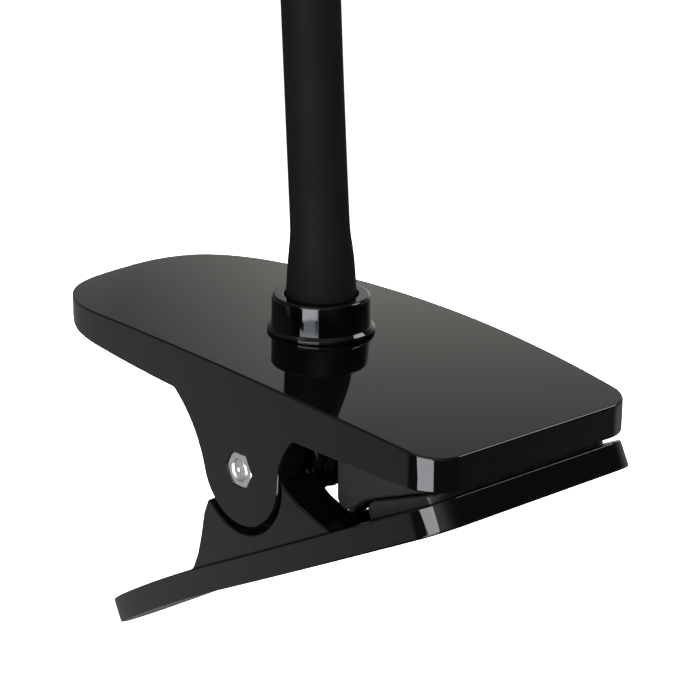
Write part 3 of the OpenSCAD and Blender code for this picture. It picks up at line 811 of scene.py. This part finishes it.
def pale_material(name, brightness):
    material = bpy.data.materials.new(name)
    material.use_nodes = True
    tree = material.node_tree
    shader = tree.nodes["Principled BSDF"]
    shader.inputs["Roughness"].default_value = 0.9
    coords = node_at(tree, "ShaderNodeTexCoord").outputs["Object"]
    paper = ramp(tree, noise_of(tree, coords, 3, 2), 0.3, 0.7, 0, 1)
    colour = mixed(tree, paper, (0.9, 0.9, 0.9), (0.94, 0.94, 0.94))
    tree.links.new(colour, shader.inputs["Base Color"])
    shader.inputs["Emission Color"].default_value = (1, 1, 1, 1)
    shader.inputs["Emission Strength"].default_value = brightness
    return material


def make_backdrop():
    """A floor well under the clamped part, curving up into a wide pale dome."""
    flat = DOME_RADIUS - COVE_RADIUS
    turns = [pi / 2 * i / QUARTER_STEPS for i in range(1, QUARTER_STEPS + 1)]
    outline = [(1, 0), (3, 0), (flat, 0)]
    outline += [(flat + COVE_RADIUS * sin(t), COVE_RADIUS * (1 - cos(t))) for t in turns]
    outline += [(DOME_RADIUS * cos(t), COVE_RADIUS + DOME_RADIUS * sin(t)) for t in turns[:-1]]
    rings = [ring(radius, height, 64) for radius, height in outline]
    form = skin([[Vector((0, 0, 0))], *rings, [Vector((0, 0, DOME_RADIUS + COVE_RADIUS))]])
    form.transform(Matrix.Translation((0, 0, cad_low.z - FLOOR_DROP)))
    mesh = bpy.data.meshes.new("floor_and_backdrop")
    form.to_mesh(mesh)
    form.free()
    mesh.shade_smooth()
    mesh.materials.append(pale_material("pale_paper", 1.0))
    backdrop = bpy.data.objects.new("floor_and_backdrop", mesh)
    scene.collection.objects.link(backdrop)
    camera_only(backdrop)


# Each grey wall of the studio: direction, spread, strength, colour, and the side that
# it lies on as (direction, half width of its soft edge)
WALLS = [
    ((-0.52, 0.84, 0.16), 14.0, 0.86, (1.0, 0.965, 0.91), ((0.60, 0.80, 0.0), 0.05)),
    ((-0.76, 0.64, 0.09), 8.0, 0.20, (1.0, 0.965, 0.91), ((0.0, 1.0, 0.0), 0.3)),
    ((-0.68, -0.53, -0.50), 3.2, 0.38, (1.0, 0.975, 0.94), ((-0.86, 0.32, 0.39), 0.04)),
    ((0.74, -0.60, 0.32), 9.0, 0.75, (0.94, 0.97, 1.0), ((0.0, 0.28, 0.96), 0.08)),
    ((0.25, 0.93, -0.26), 18.0, 0.55, (1.0, 0.98, 0.95), ((0.0, 1.0, 0.0), 0.2)),
    ((0.0, -0.1, 1.0), 5.0, 0.35, (1.0, 0.99, 0.97), ((0.0, 0.0, 1.0), 0.2)),
]
AMBIENT = 0.01


def make_studio():
    """A dark studio with broad grey walls, seen only in reflections."""
    world = bpy.data.worlds.new("studio")
    scene.world = world
    world.use_nodes = True
    tree = world.node_tree

    def joined(kind, operation, first, second, output="Value"):
        node = node_at(tree, kind, operation=operation)
        tree.links.new(first, node.inputs[0])
        if isinstance(second, (int, float, Vector)):
            node.inputs[1].default_value = second
        else:
            tree.links.new(second, node.inputs[1])
        return node.outputs[output]

    view = node_at(tree, "ShaderNodeTexCoord").outputs["Generated"]
    unit = node_at(tree, "ShaderNodeVectorMath", operation="NORMALIZE")
    tree.links.new(view, unit.inputs[0])
    unit = unit.outputs["Vector"]
    base = node_at(tree, "ShaderNodeRGB")
    base.outputs["Color"].default_value = (AMBIENT, AMBIENT, AMBIENT, 1)
    total = base.outputs["Color"]
    for axis, spread, strength, colour, (side, softness) in WALLS:
        facing = joined("ShaderNodeVectorMath", "DOT_PRODUCT", unit, Vector(axis).normalized())
        drop = joined("ShaderNodeMath", "SUBTRACT", facing, 1.0)
        drop = joined("ShaderNodeMath", "MULTIPLY", drop, spread)
        level = node_at(tree, "ShaderNodeMath", operation="EXPONENT")
        tree.links.new(drop, level.inputs[0])
        inside = joined("ShaderNodeVectorMath", "DOT_PRODUCT", unit, Vector(side).normalized())
        share = ramp(tree, inside, -softness, softness, 0, 1)
        level = joined("ShaderNodeMath", "MULTIPLY", level.outputs["Value"], share)
        tinted = node_at(tree, "ShaderNodeVectorMath", operation="SCALE")
        tinted.inputs[0].default_value = Vector(colour) * strength
        tree.links.new(level, tinted.inputs["Scale"])
        total = joined("ShaderNodeVectorMath", "ADD", total, tinted.outputs["Vector"], "Vector")
    tree.links.new(total, tree.nodes["Background"].inputs["Color"])


def softbox(name, azimuth, low, high, half_width, radiance, colour=(1, 1, 1), distance=1.3):
    """A rectangular light that faces the datum, as bright as radiance all over. It fills
    half_width degrees either side of an azimuth, between two elevations in degrees."""
    middle_up = radians((low + high) / 2)
    turn = radians(azimuth)
    towards = Vector((cos(turn) * cos(middle_up), sin(turn) * cos(middle_up), sin(middle_up)))
    width = 2 * distance * tan(radians(half_width)) * cos(middle_up)
    height = 2 * distance * tan(radians((high - low) / 2))
    data = bpy.data.lights.new(name, "AREA")
    data.shape = "RECTANGLE"
    data.size = width
    data.size_y = height
    data.energy = radiance * pi * width * height
    data.color = colour
    light = bpy.data.objects.new(name, data)
    scene.collection.objects.link(light)
    light.matrix_world = (Matrix.Translation(datum + towards * distance)
                          @ towards.to_track_quat("Z", "Y").to_matrix().to_4x4())
    light.visible_camera = False
    return light


COOL = (0.94, 0.96, 1.0)


def make_lights():
    """A tall softbox in front, made of four panes, smaller lights above and behind, and
    two fills that only lift the matt parts."""
    softbox("front_low_pane", 294, -32, -19, 25, 7.0, COOL)
    softbox("front_bright_pane", 294.5, -19, -11, 18, 8.0, COOL)
    softbox("front_dim_pane", 293.5, -11, 1, 13, 3.0, (0.85, 0.92, 1.0))
    softbox("front_top_pane", 293, 1, 24, 22, 7.0, COOL)
    softbox("back_softbox", 72, 34, 50, 12, 6.0)
    softbox("top_softbox", 240, 60, 90, 16, 0.6)
    for name, azimuth, radiance in (("side_fill", 350, 6.0), ("back_fill", 135, 9.0)):
        softbox(name, azimuth, 0, 30, 16, radiance).visible_glossy = False


make_jaws()
make_pads()
make_pivot()
make_spring()
make_collar()
make_sleeve()
make_neck_fixing()
make_head()
dress_plain_nodes()
make_camera()
make_backdrop()
make_studio()
make_lights()
scene.view_settings.view_transform = "Standard"
